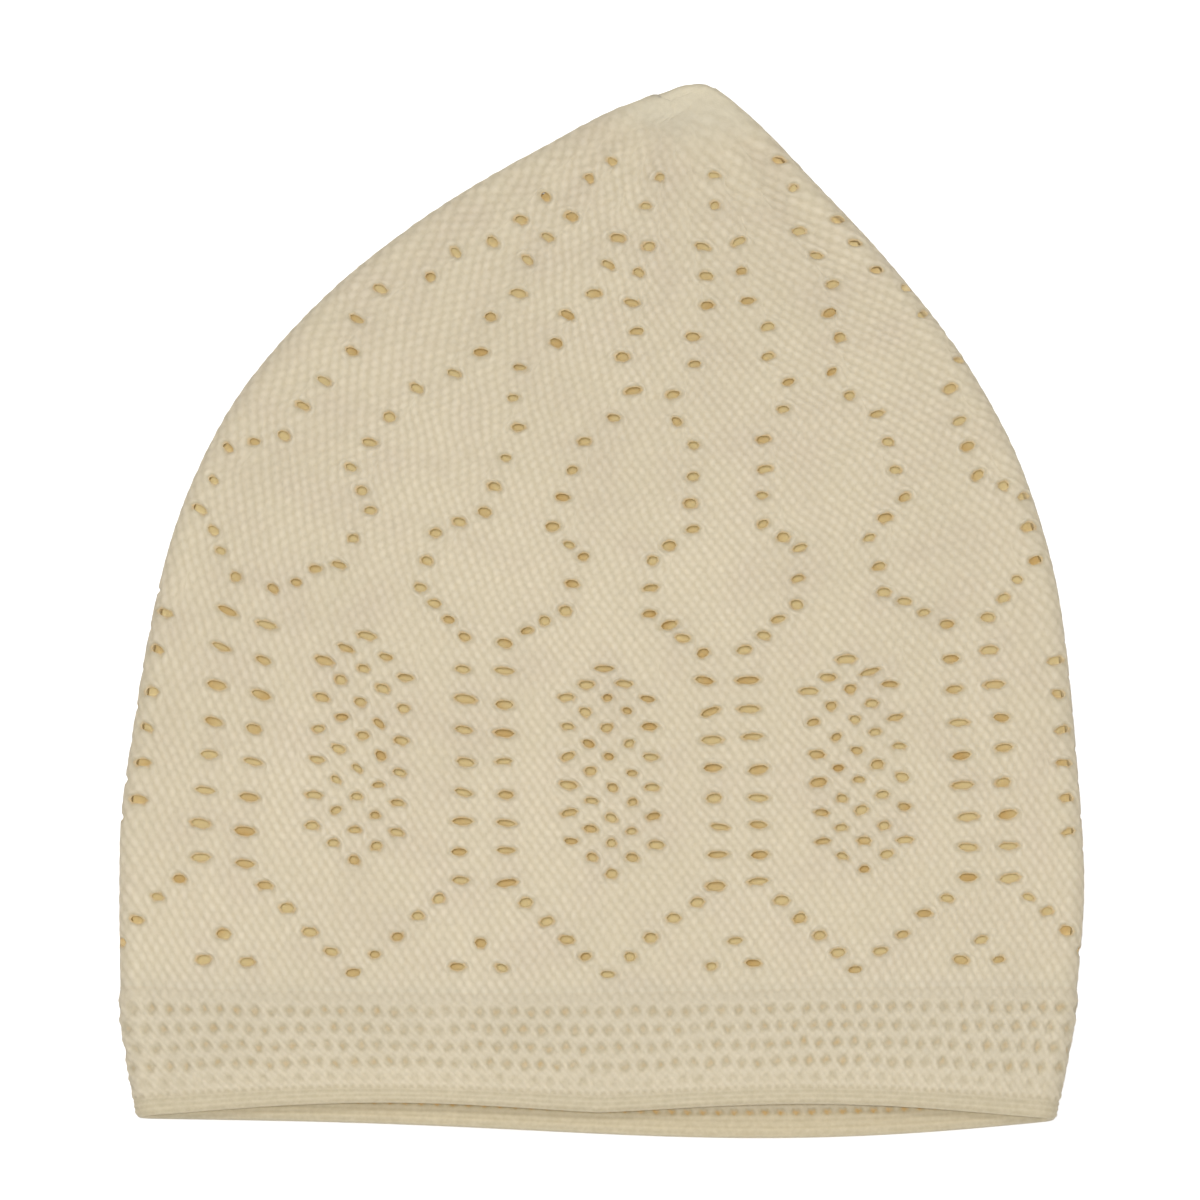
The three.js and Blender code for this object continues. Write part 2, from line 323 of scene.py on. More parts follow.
# Units up to here lie on the front or just round a fold, and get the finer mesh.
LAST_FINE_UNIT = 38
FINE_COLUMNS = 6
PLAIN_COLUMNS = 4

# From this row to the hem no wale is dropped.
FULL_WIDTH_ROW = 7

mesh_row_count = 2 * round((BAND_TOP_ROW - LAST_RING_ROW) * MESH_ROWS_PER_ROW / 2) + 1
MESH_ROWS = np.linspace(LAST_RING_ROW, BAND_TOP_ROW, mesh_row_count)


def mesh_row_at(row):
    """The place of a row of the knitting, counted in mesh rows."""
    return float(np.interp(row, MESH_ROWS, np.arange(len(MESH_ROWS))))


def closing_rows():
    """The mesh row at which each wale of a repeat ends, from the width left round the cap.

    The decreases take turns at two places, in the plain strips beside the diamond panel.
    """
    rows = np.linspace(LAST_RING_ROW, FULL_WIDTH_ROW, 400)
    wales_left = 2 * section_at(rows)["halfRound"] / (WALE * REPEATS)
    ends = np.full(WALES_PER_REPEAT, -1)
    living = list(range(WALES_PER_REPEAT))
    for dropped in range(WALES_PER_REPEAT - WALES_AT_PEAK):
        place = DECREASE_PLACES[dropped % len(DECREASE_PLACES)]
        wale = living.pop(round(place * (len(living) - 1)))
        row = np.interp(WALES_PER_REPEAT - dropped - 0.5, wales_left, rows)
        ends[wale] = 2 * round(mesh_row_at(row) / 2)
    return ends


def wale_mesh():
    """Wale coordinate, unit, width of its wale and repeat of each mesh column, by mesh row."""
    ends = closing_rows()
    step = MESH_ROWS[1] - MESH_ROWS[0]
    rows_past = (np.arange(len(MESH_ROWS))[:, None] - ends[None, :]) * step
    widths = np.where(ends[None, :] < 0, 1.0, eased(rows_past / NARROWING_ROWS))
    starts = np.cumsum(widths, axis=1) - widths
    total = widths.sum(axis=1, keepdims=True)

    wale, share = [], []
    for number in range(WALES_ROUND):
        unit = FIRST_UNIT + number * UNITS_PER_REPEAT / WALES_PER_REPEAT
        columns = FINE_COLUMNS if unit < LAST_FINE_UNIT else PLAIN_COLUMNS
        wale += [number] * columns
        share += [i / columns for i in range(columns)]
    wale, share = np.array(wale), np.array(share)
    repeat, place = np.divmod(wale, WALES_PER_REPEAT)
    within = (starts[:, place] + share[None, :] * widths[:, place]) / total
    unit = FIRST_UNIT + UNITS_PER_REPEAT * (repeat[None, :] + within)
    width = widths[:, place]
    return wale + share, unit, width, repeat


COLUMN_WALE, COLUMN_UNIT, COLUMN_WIDTH, COLUMN_REPEAT = wale_mesh()
COLUMN_ALIVE = COLUMN_WIDTH > 0
ROW_GRID = np.repeat(MESH_ROWS[:, None], len(COLUMN_WALE), axis=1)


def joined_numbers(numbers, alive):
    """The numbers with each ended column's point replaced by the next living one on its row.

    The first column comes once more at the end, to close the loop round the cap.
    """
    count = numbers.shape[1]
    place = np.where(alive, np.arange(count)[None, :], 2 * count)
    place = np.minimum.accumulate(place[:, ::-1], axis=1)[:, ::-1]
    first = np.argmax(alive, axis=1)[:, None]
    place = np.where(place >= count, first, place)
    joined = np.take_along_axis(numbers, place, axis=1)
    return np.concatenate([joined, joined[:, :1]], axis=1)


# -------- the eyelets

# Width and height of the eyelets in millimetres, by where they are in the pattern.
SLIT_SIZE = (4.9, 1.9)
LATTICE_SIDE_SIZE = (3.8, 1.85)
LATTICE_MIDDLE_SIZE = (3.0, 2.0)
LATTICE_TOP_SIZE = (4.4, 1.8)
LINE_SIZE = (3.4, 2.05)
PEAK_SIZE = (2.7, 1.9)
# Their unevenness: the spread of a size as a share of it, the most spreads that it is off by,
# and the spread of the shift and of the tilt in millimetres.
SIZE_SPREAD = 0.12
SIZE_LIMIT = 1.5
EYELET_JITTER = 0.2
EYELET_TILT = 0.35
# Eyelets on the back, where the cap lies on them, are pressed a little shut. Where the floor
# would show through one and an eyelet of the front, seen from about the camera's place, the
# one on the back makes the smallest move that clears it. A move across counts as a larger one.
PRESSED = 0.75
SEEN_FROM = np.array([0.0, -260.0, 1484.0])
CLEARANCE = 0.4
MOVES_ACROSS = np.arange(-2.0, 2.1, 1.0)
MOVES_DOWN = np.arange(-2.5, 2.6, 0.25)
COST_ACROSS = 3

# Half of the vase outline, from its neck at the twin columns up to the peak: the row, and the
# distance in units from the vase's middle line.
VASE_OUTLINE = [
    (-1.0, 1.0), (-1.5, 2.0), (-2.0, 2.8), (-2.4, 3.8), (-3.35, 3.9), (-4.4, 4.15),
    (-4.9, 3.2), (-5.5, 2.0), (-6.5, 2.1), (-7.5, 2.2), (-8.65, 2.35), (-9.55, 3.7),
    (-10.55, 4.4), (-11.65, 3.0), (-12.65, 3.4), (-13.6, 2.0), (-14.6, 1.95), (-15.55, 2.25),
]


def eyelet_chart():
    """The eyelets of one repeat: unit from the panel's middle, row and size."""
    chart = []

    def both(offset, row, size, middle=0.0):
        for side in (-1, 1) if offset else (1,):
            chart.append((middle + side * offset, row, size))

    # The lattice of the diamond panel, in columns from its middle to its sides.
    for column, first, count in ((0, -0.4, 8), (1, 0.1, 7), (2, 0.6, 6)):
        both(column, first, LATTICE_TOP_SIZE)
        for step in range(1, count):
            both(column, first + step, LATTICE_SIDE_SIZE if column == 2 else LATTICE_MIDDLE_SIZE)
    # The twin columns of slits between two panels.
    for row in range(0, 8):
        both(1, row, SLIT_SIZE, HALF_REPEAT)
    # The chevron below the panel, and the sprig of three below the slits.
    for step in range(5):
        both(4 - step, 7.6 + 0.6 * step, LINE_SIZE)
    both(0, 9.0, LINE_SIZE, HALF_REPEAT)
    both(1, 9.75, LINE_SIZE, HALF_REPEAT)
    # The vase outline above the slits, and two more eyelets on the way to the peak.
    for row, distance in VASE_OUTLINE:
        both(distance, row, LINE_SIZE, HALF_REPEAT)
    chart.append((HALF_REPEAT + 0.2, -16.8, PEAK_SIZE))
    chart.append((HALF_REPEAT + 1.1, -17.7, PEAK_SIZE))
    return chart


# How far past its rim an eyelet pushes the stitches aside.
EYELET_REACH = 2.4
# An eyelet takes the place of mesh faces over this share of its width to either side.
BLOCK_SHARE = 0.33
# The fabric dips towards an eyelet over a short way, with a low swelling round it. Round the rim
# the colour carries a painted shade.
RIM_DROP = 0.3
RIM_REACH = 0.6
RIM_SHADE = 0.7
LIP_HEIGHT = 0.1
LIP_DISTANCE = 1.3
LIP_WIDTH = 0.6
# The hole narrows to its waist, this share of the rim's width and this far below it, and
# widens from there inwards. The waist has this painted shade, and this share of the inner face's
# warm painted shade.
WAIST = 0.84
WAIST_DROP = 0.16
WAIST_SHADE = -0.4
WAIST_INSIDE = 0.35
INNER_FLARE = 1.35


def eyelet_block(unit, row, size, scale):
    """Mesh rows and columns of the block of faces that one eyelet takes the place of."""
    mid = round(mesh_row_at(row))
    mid += 1 - mid % 2
    first_row, last_row = mid - 1, mid + 1
    units = COLUMN_UNIT[mid]
    distance = turn_distance(units, unit) * scale[0]
    living = COLUMN_ALIVE[first_row] & (np.arange(len(units)) % 2 == 0)
    half = BLOCK_SHARE * size[0]
    candidates = np.flatnonzero(living & (np.abs(distance) < 4 * half + 2))
    order = candidates[np.argsort(distance[candidates])]
    left = np.argmin(np.abs(distance[order] + half))
    right = max(left + 1, np.argmin(np.abs(distance[order] - half)))
    left, right = order[left], order[right]
    columns = len(units)
    span = (right - left) % columns
    return first_row, last_row, left, span


def turn_distance(units, unit):
    """How far round the cap, in units, each place is from one unit, either way."""
    return np.mod(units - unit + UNITS_ROUND / 2, UNITS_ROUND) - UNITS_ROUND / 2


def placed_eyelets():
    """Unit, row, size, tilt and repeat of each eyelet, with the unevenness of hand work."""
    placed = []
    for repeat in range(REPEATS):
        for offset, row, size in eyelet_chart():
            unit = repeat * UNITS_PER_REPEAT + offset
            scale = fabric_scale(unit, row)
            jitter = rng.normal(0, EYELET_JITTER, 2) / scale
            luck = rng.standard_normal(2).clip(-SIZE_LIMIT, SIZE_LIMIT)
            size = np.array(size) * (1 + SIZE_SPREAD * luck)
            tilt = rng.normal(0, EYELET_TILT) / size[0]
            placed.append([unit + jitter[0], row + jitter[1], size, tilt, repeat])
    settle_back_eyelets(placed)
    return placed


def settle_back_eyelets(placed):
    """Presses the eyelets on the back, and moves them out of sight lines through the front's."""
    units, rows = (np.array([eyelet[k] for eyelet in placed]) for k in (0, 1))
    sizes = np.array([eyelet[2] for eyelet in placed])
    points = fabric_point(rows, along_of(units, rows))
    front = along_of(units, rows) <= 1
    moves = np.array([(across, down) for across in MOVES_ACROSS for down in MOVES_DOWN])
    costs = COST_ACROSS * np.abs(moves[:, 0]) + np.abs(moves[:, 1])
    moves = moves[np.argsort(costs, kind="stable")]
    for number in np.flatnonzero(~front):
        placed[number][2] = placed[number][2] * PRESSED
        # Where the sight lines through the front's eyelets meet the level of this one.
        depth = points[front, 2] - points[number, 2]
        sight = (points[front] - SEEN_FROM) / (SEEN_FROM[2] - points[front, 2])[:, None]
        beyond = points[front] + sight * depth[:, None]
        reach = (sizes[front] + placed[number][2]) / 2 + CLEARANCE
        gaps = (points[number, :2] + moves[:, None] - beyond[None, :, :2]) / reach
        apart = np.hypot(gaps[..., 0], gaps[..., 1]).min(axis=1)
        # The first move that clears them all, or else the one that comes nearest to that.
        move = moves[np.argmax(apart >= min(1, apart.max()))]
        scale = fabric_scale(units[number], rows[number])
        placed[number][0] -= move[0] / scale[0]
        placed[number][1] -= move[1] / scale[1]


def outlines_at(angle, size, tilt, middle, half):
    """The points at an angle on an eyelet's rim, and on the edge of the block it replaces."""
    across, down = np.cos(angle), np.sin(angle)
    rim_x, rim_y = size[0] / 2 * across, size[1] / 2 * down
    edge = np.maximum(np.abs(across), np.abs(down))
    block = (middle[0] + half[0] * across / edge, middle[1] + half[1] * down / edge)
    return (rim_x, rim_y + rim_x * tilt), block


def open_eyelets(units, rows):
    """Pushes the stitches aside round each eyelet, on the outer face and further on the inner one.

    Returns units and rows of both faces, nearness to a rim, the swelling round it and the blocks.
    """
    rim = np.zeros_like(units)
    swelling = np.zeros_like(units)
    blocks = []
    outer_face = [units.copy(), rows.copy()]
    inner_face = [units.copy(), rows.copy()]
    for unit, row, size, tilt, repeat in placed_eyelets():
        scale = fabric_scale(unit, row)
        top, bottom, left, span = eyelet_block(unit, row, size, scale)
        reach_rows = int((EYELET_REACH + size[1]) / scale[1] * MESH_ROWS_PER_ROW) + 2
        j = np.arange(max(0, top - reach_rows), min(len(MESH_ROWS), bottom + reach_rows + 1))
        wide = size[0] / 2 + EYELET_REACH + 3
        c = np.flatnonzero(np.abs(turn_distance(units[top + 1], unit)) * scale[0] < wide)
        window = np.ix_(j, c)
        x = turn_distance(units[window], unit) * scale[0]
        y = (rows[window] - row) * scale[1]
        ends = [units[top + 1, at % units.shape[1]] for at in (left, left + span)]
        first, last = (turn_distance(end, unit) * scale[0] for end in ends)
        middle = np.array([(first + last) / 2, (rows[top + 1, left] - row) * scale[1]])
        height = (rows[bottom, left] - rows[top, left]) * scale[1]
        half = np.array([(last - first) / 2, height / 2])
        px, py = (x - middle[0]) / half[0], (y - middle[1]) / half[1]
        reach = np.maximum(np.abs(px), np.abs(py))
        on_rim, on_block = outlines_at(np.arctan2(py, px), size, tilt, middle, half)
        away = np.hypot(x - on_block[0], y - on_block[1]) * (reach > 1)
        push = eased(1 - away / EYELET_REACH)
        for face, flare in ((outer_face, 1.0), (inner_face, INNER_FLARE)):
            for k in (0, 1):
                face[k][window] += push * (flare * on_rim[k] - on_block[k]) / scale[k]
        rim[window] = np.maximum(rim[window], np.exp(-((away / RIM_REACH) ** 2)))
        swelling[window] += np.exp(-(((away - LIP_DISTANCE) / LIP_WIDTH) ** 2))
        blocks.append((top, bottom, left, span, repeat))
    return outer_face, inner_face, rim, swelling, blocks


# -------- the relief of the stitches

GRAIN_HALF_WIDTH = 0.8
GRAIN_HALF_LENGTH = 1.2
GRAIN_SLANT = math.radians(17)
GRAIN_HEIGHT = 0.28
# How much the legs vary: sideways in millimetres, in slant, and in height.
LEG_SHIFT = 0.08
LEG_SLANT = 0.12
LEG_HEIGHT = 0.12
LUCK_ROWS, LUCK_COLUMNS = 400, 512
grain_luck = rng.standard_normal((LUCK_ROWS, LUCK_COLUMNS, 3)).clip(-2, 2)


def stitch_relief(wale, course, scale_x, scale_y):
    """Height, 0 to 1, of the loops: one slanted leg in two stands up, in turn along a course."""
    height = np.zeros(np.broadcast(wale, course).shape)
    base = np.round(course).astype(int)
    for step in (-1, 0, 1):
        j = base + step
        dy = (course - j) * scale_y
        turn = j % 2
        leg = 2 * wale - math.tan(GRAIN_SLANT) * dy / scale_x
        leg = (2 * np.round((leg - turn) / 2) + turn).astype(int)
        luck = grain_luck[j % LUCK_ROWS, leg % (2 * WALES_ROUND)]
        dx = (wale - leg / 2) * scale_x + LEG_SHIFT * luck[..., 2]
        slant = GRAIN_SLANT + LEG_SLANT * luck[..., 0]
        across = dx * np.cos(slant) - dy * np.sin(slant)
        along = dx * np.sin(slant) + dy * np.cos(slant)
        body = 1 - (across / GRAIN_HALF_WIDTH) ** 2 - (along / GRAIN_HALF_LENGTH) ** 2
        tallness = 1 - LEG_HEIGHT + LEG_HEIGHT * luck[..., 1]
        height = np.maximum(height, np.maximum(body, 0) * tallness)
    return height


def knit_face(relief):
    """Height of the knit's outer face above the middle of its wall."""
    return KNIT_WALL / 2 - 0.6 * GRAIN_HEIGHT + GRAIN_HEIGHT * relief


def slow_noise(unit, row, wave_units, wave_rows, count=6):
    """A smooth wandering value, the same where the loop closes."""
    total = 0
    for _ in range(count):
        turns = max(1, round(UNITS_ROUND / wave_units * rng.uniform(0.6, 1.5)))
        phase = rng.uniform(0, 2 * math.pi)
        rate = rng.normal(0, 2 * math.pi / wave_rows)
        total = total + np.sin(2 * math.pi * turns * unit / UNITS_ROUND + rate * row + phase)
    return total / math.sqrt(count / 2)


# -------- the knitted body

# The eyelets and the unevenness fade out over these rows before the body meets the band.
FADE_ROWS = 0.8
# Near the peak, the unevenness settles and the loops flatten, over these rows.
SETTLING_ROWS = 2.5
FLATTENING_ROWS = 2.0
FLAT_RELIEF = 0.45
# How far the stitches wander, in units and in rows, and how far the fabric rises and falls.
SWAY = 0.025
DIP = 0.02
DRIFT = 0.18
WIDEST_WALE = 1.15 * WALE
# The share of the relief that is left on a fold, and how soon lips fade out towards it.
FOLD_RELIEF = 0.4
LIP_FADE = 1.4
INNER_RELIEF = 0.1
# The relief that the material sees, at the foot of the loops and added at their tops; a low relief
# is painted as shade.
FOOT_SHADE = 0.24
LOOP_SHADE = 0.54
CLOSING_SHADE = 0.3


def uneven_places(outer_face, inner_face, free, settled):
    """Units and rows of both faces, with the stitches wandering a little."""
    sway = SWAY * slow_noise(COLUMN_UNIT, ROW_GRID, 5, 4) * settled
    dip = DIP * slow_noise(COLUMN_UNIT, ROW_GRID, 7, 3) * settled
    faces = []
    for units, rows in (outer_face, inner_face):
        units = COLUMN_UNIT + (units + sway - COLUMN_UNIT) * free
        rows = ROW_GRID + (rows + dip - ROW_GRID) * free
        rows = np.clip(rows, SECTIONS[0, 0] + 0.02, BAND_TOP_ROW)
        rows[0] = MESH_ROWS[0]
        faces.append((units, rows))
    return faces


def body_relief():
    """Height of the loops, 0 to 1, on each point of the body's mesh."""
    circumference = 2 * section_at(MESH_ROWS)["halfRound"]
    wales_alive = np.array([len(np.unique(np.floor(COLUMN_WALE[alive]))) for alive in COLUMN_ALIVE])
    pitch = np.minimum(circumference / wales_alive, WIDEST_WALE)[:, None]
    wale = np.broadcast_to(COLUMN_WALE[None, :], ROW_GRID.shape)
    relief = stitch_relief(wale, (ROW_GRID - LAST_RING_ROW) * COURSES_PER_ROW, pitch, COURSE)
    # The loops flatten where a wale narrows to nothing and where the peak is drawn together.
    plumpness = COLUMN_WIDTH * np.clip((ROW_GRID - LAST_RING_ROW) / FLATTENING_ROWS, 0, 1)
    return relief * plumpness + FLAT_RELIEF * (1 - plumpness)


def knitted_body():
    """The body's outer and inner faces with its eyelets, as one skin in a piece for each repeat."""
    skin = Skin()
    outer_face, inner_face, rim, swelling, blocks = open_eyelets(COLUMN_UNIT, ROW_GRID)
    free = eased((BAND_TOP_ROW - ROW_GRID) / FADE_ROWS)
    settled = np.clip((ROW_GRID - LAST_RING_ROW) / SETTLING_ROWS, 0, 1)
    outer_places, inner_places = uneven_places(outer_face, inner_face, free, settled)
    point, out = fabric_frame(*outer_places)
    inner_point, inner_out = fabric_frame(*(grid[::2, ::2] for grid in inner_places))
    relief = body_relief()
    drift = slow_noise(COLUMN_UNIT, ROW_GRID, 8, 6) * free * settled

    # Round a fold the loops are pulled flat, and so are the lips of the eyelets.
    facing = np.abs(out[..., 2])
    lips = (LIP_HEIGHT * swelling - RIM_DROP * rim) * free * np.clip(LIP_FADE * facing, 0, 1)
    outer_offset = knit_face(relief * (FOLD_RELIEF + (1 - FOLD_RELIEF) * facing)) + lips
    # Painted shade: darker at the foot of the loops and round the rims of the eyelets.
    shade = FOOT_SHADE + LOOP_SHADE * relief - RIM_SHADE * rim ** 2 * free
    outer = point + out * outer_offset[..., None]
    outer[..., 2] += DRIFT * drift * np.clip(out[..., 2], 0, 1)
    outer[..., 2] = np.maximum(outer[..., 2], FLOOR_GAP)
    inner_shade, inner_drift = shade[::2, ::2], drift[::2, ::2]
    inner = inner_point - inner_out * (KNIT_WALL / 2 - INNER_RELIEF * inner_shade)[..., None]
    inner[..., 2] += DRIFT * inner_drift * np.clip(inner_out[..., 2], 0, 1)

    inner_alive = COLUMN_ALIVE[::2, ::2]
    outer_numbers = joined_numbers(skin.add_points(outer, shade, 0.0), COLUMN_ALIVE)
    inner_numbers = joined_numbers(skin.add_points(inner, inner_shade, 1.0), inner_alive)
    outer_faces = grid_faces(outer_numbers)
    inner_faces = grid_faces(inner_numbers, flip=True)
    outer_kept = np.ones(outer_faces.shape[:2], bool)
    inner_kept = np.ones(inner_faces.shape[:2], bool)
    hollow_row = round(mesh_row_at(HOLLOW_TOP_ROW) / 2)
    inner_kept[:hollow_row] = False
    for block in blocks:
        top, bottom, left, span, _ = block
        cut = np.arange(left, left + span) % len(COLUMN_WALE)
        outer_kept[top:bottom, cut] = False
        inner_kept[top // 2 : bottom // 2, cut[::2] // 2] = False
        add_eyelet_wall(skin, outer, out, outer_numbers, inner_numbers, block)
    piece = np.broadcast_to(COLUMN_REPEAT[None, :], outer_kept.shape)
    skin.add_faces(outer_faces[outer_kept], piece[outer_kept])
    inner_piece = np.broadcast_to(COLUMN_REPEAT[None, ::2], inner_kept.shape)
    skin.add_faces(inner_faces[inner_kept], inner_piece[inner_kept])

    # The lower edge joins the two faces, on a line of outer points of its own.
    inner_repeat = COLUMN_REPEAT[::2]
    edge_numbers = skin.add_points(outer[-1], shade[-1], 0.0)
    edge_numbers = np.append(edge_numbers, edge_numbers[0])
    skin.add_faces(bridge_faces(edge_numbers, inner_numbers[-1]), np.tile(inner_repeat, 3))
    # A fan of faces closes the peak outside, and another one the hollow inside.
    pole = dict(zip(SECTION_COLUMNS, SECTIONS[0]))
    closing_height = pole["foldHeight"] + KNIT_WALL / 2 - CLOSING_DIMPLE
    closing = np.array([[pole["midX"], pole["midY"], closing_height]])
    centre = skin.add_points(closing, CLOSING_SHADE, 0.0)[0]
    skin.add_faces(fan_faces(outer_numbers[0], centre), COLUMN_REPEAT)
    roof_points = inner[hollow_row][inner_alive[hollow_row]]
    roof = skin.add_points(roof_points.mean(axis=0)[None, :], 0.0, 1.0)[0]
    skin.add_faces(fan_faces(inner_numbers[hollow_row], roof, flip=True), inner_repeat)
    skin.finish()
    return skin


def fan_faces(ring, centre, flip=False):
    """Triangles from a closed ring of points to one in its middle."""
    a, b = ring[:-1], ring[1:]
    middle = np.full_like(a, centre)
    return np.stack([middle, middle, b, a] if flip else [middle, middle, a, b], axis=-1)


def add_eyelet_wall(skin, outer, out, outer_numbers, inner_numbers, block):
    """The wall of one eyelet, from its outer rim over its waist to its inner rim.

    The waist has its points twice, so that light falls on the wall above and below it apart.
    """
    top, bottom, left, span, repeat = block
    columns = outer.shape[1]
    right = left + span
    loop = (
        [(top, c) for c in range(left, right)]
        + [(r, right) for r in range(top, bottom)]
        + [(bottom, c) for c in range(right, left, -1)]
        + [(r, left) for r in range(bottom, top, -1)]
    )
    loop.append(loop[0])
    rim_rows = np.array([r for r, _ in loop])
    rim_columns = np.array([c for _, c in loop]) % columns
    rim = outer_numbers[rim_rows, rim_columns]
    place = outer[rim_rows, rim_columns]
    outward = out[rim_rows, rim_columns].mean(axis=0)
    centre = place[:-1].mean(axis=0)
    waist_points = centre + (place[:-1] - centre) * WAIST - outward * WAIST_DROP
    same = rim[:-1] == np.roll(rim[:-1], 1)
    waists = []
    for _ in range(2):
        numbers = skin.add_points(waist_points, WAIST_SHADE, WAIST_INSIDE)
        for k in np.flatnonzero(same):
            numbers[k] = numbers[k - 1]
        waists.append(np.append(numbers, numbers[0]))
    upper, lower = waists
    skin.add_faces(np.stack([rim[:-1], upper[:-1], upper[1:], rim[1:]], axis=-1), repeat)
    inner_rim = inner_numbers[rim_rows[::2] // 2, rim_columns[::2] // 2]
    skin.add_faces(bridge_faces(lower, inner_rim), repeat)


# -------- the hem band

MESHES_ROUND = 116
BAND_ROUND = 422.0
FINE_BAND_COLUMNS = 12
PLAIN_BAND_COLUMNS = 6
MESH_PITCH = BAND_ROUND / MESHES_ROUND
MESH_ROW_SPACING = 0.59
FIRST_MESH_ROW = 11.25
MESH_COURSES = 5
MESH_DEPTH = 0.75
MESH_SLANT = math.radians(10)
# The net inside has this share of the depth, and is shifted by this share of a dimple.
INNER_MESH_DEPTH = 0.7
INNER_MESH_SHIFT = 0.25
# How far the dimples wander, in millimetres, and their stretch, across and down.
MESH_UNEVENNESS = (0.26, 0.22)
MESH_STRETCH = (0.92, 0.68)
# Half the width of the strands, from where they are full to where the dimple has its depth.
STRAND_HALF_WIDTHS = (0.15, 1.75)
YARN_COURSES = 4
YARN_COURSE = 1.03
YARN_HEIGHT = 0.45
# Over these rows the plain knit thickens to the double welt.
WELT_ROWS = 0.5
# The zigzag line where the turned edge is linked on, outside and inside, and the edge itself.
ZIGZAG_ROWS = (13.92, 13.82)
ZIGZAG_SWING = 0.03
ZIGZAG_WIDTH = 0.06
# Depth and painted shade of its groove, outside and inside.
GROOVE_DEPTHS = (0.6, 1.0)
GROOVE_SHADES = (0.6, 1.8)
# The net ends over these rows above the line, and the smooth edge starts over these below it.
NET_END_ROWS = 0.12
EDGE_START_ROWS = 0.08
RIB_ROWS = 0.17
RIB_HEIGHT = 0.2
# The relief that the material sees, as painted shade: between the yarns, on them, in the dimples,
# on the ribs.
BAND_SHADE = 0.26
YARN_SHADE = 0.45
DIMPLE_SHADE = -0.85
RIB_SHADE = 0.3
# Spacing of the mesh rows down the outside, the steps round the edge, and the rows and steps
# of the inside's lower and upper part.
BAND_ROW_STEP = 0.052
EDGE_STEPS = 10
INNER_LOWER_ROWS = 1.2
INNER_LOWER_STEPS = 18
INNER_UPPER_STEPS = 12


def mesh_relief(column, row):
    """Depth, 0 to 1, of the dimples of the band's mesh knit, with strands of even width between."""
    course = (row - FIRST_MESH_ROW) / MESH_ROW_SPACING
    base = np.round(course).astype(int)
    near = []
    for step in (-1, 0, 1):
        j = base + step
        dy = (course - j) * MESH_ROW_SPACING * ROW_HEIGHT
        shift = 0.5 * (j % 2)
        lean = dy * math.tan(MESH_SLANT) / MESH_PITCH
        middle = np.round(column - shift - lean).astype(int)
        for i in (middle - 1, middle, middle + 1):
            luck = grain_luck[(j + LUCK_ROWS // 2) % LUCK_ROWS, i % MESHES_ROUND]
            dx = (column - i - shift - lean) * MESH_PITCH + MESH_UNEVENNESS[0] * luck[..., 0]
            down = MESH_STRETCH[1] * dy + MESH_UNEVENNESS[1] * luck[..., 1]
            near.append(np.hypot(MESH_STRETCH[0] * dx, down))
    near = np.sort(np.stack(near), axis=0)[:2]
    full, deep = STRAND_HALF_WIDTHS
    depth = eased(((near[1] - near[0]) / 2 - full) / (deep - full))
    faint = np.clip(np.minimum(course + 1.2, MESH_COURSES - 0.6 - course), 0, 1)
    return depth * faint


def band_profile():
    """Rows and wall offsets of the band's section: down the outside, round, up the inside."""
    half = BAND_WALL / 2
    top = BAND_TOP_ROW
    round_row = HEM_ROW - half / ROW_HEIGHT
    outside = np.linspace(top, round_row, round((round_row - top) / BAND_ROW_STEP) + 1)
    angles = np.linspace(0, math.pi, EDGE_STEPS + 1)[1:-1]
    turned = round_row + (HEM_ROW - round_row) * np.sin(angles)
    lower_top = HEM_ROW - INNER_LOWER_ROWS
    inside = np.concatenate([
        np.linspace(round_row, lower_top, INNER_LOWER_STEPS),
        np.linspace(lower_top, top, INNER_UPPER_STEPS)[1:],
    ])
    rows = np.concatenate([outside, turned, inside])
    offsets = [np.full(len(outside), half), half * np.cos(angles), np.full(len(inside), -half)]
    return rows, np.concatenate(offsets)


def band_columns():
    """Places of the band's mesh columns, counted in dimples round the cap from the first unit."""
    column = []
    for number in range(MESHES_ROUND):
        unit = FIRST_UNIT + number * UNITS_ROUND / MESHES_ROUND
        count = FINE_BAND_COLUMNS if unit < LAST_FINE_UNIT else PLAIN_BAND_COLUMNS
        column += [number + i / count for i in range(count)]
    return np.array(column)


def turned_edge(column_grid, row_grid, inside):
    """Rows past the zigzag line, and 0 to 1 for the line's groove and the edge's ribs."""
    swing = ZIGZAG_SWING * 2 * np.abs(np.mod(2 * column_grid, 1) * 2 - 1) - ZIGZAG_SWING
    past = row_grid - (np.where(inside, ZIGZAG_ROWS[1], ZIGZAG_ROWS[0]) + swing)
    groove = np.exp(-((past / ZIGZAG_WIDTH) ** 2))
    # The linking shows on the inside as a row of knots with gaps between them.
    knot = 0.5 - 0.5 * np.cos(2 * math.pi * column_grid)
    groove = groove * np.where(inside, 0.1 + 0.9 * knot ** 1.5, 0.5)
    rib = 0.5 + 0.5 * np.cos(2 * math.pi * (row_grid - HEM_ROW) / RIB_ROWS)
    return past, groove, rib


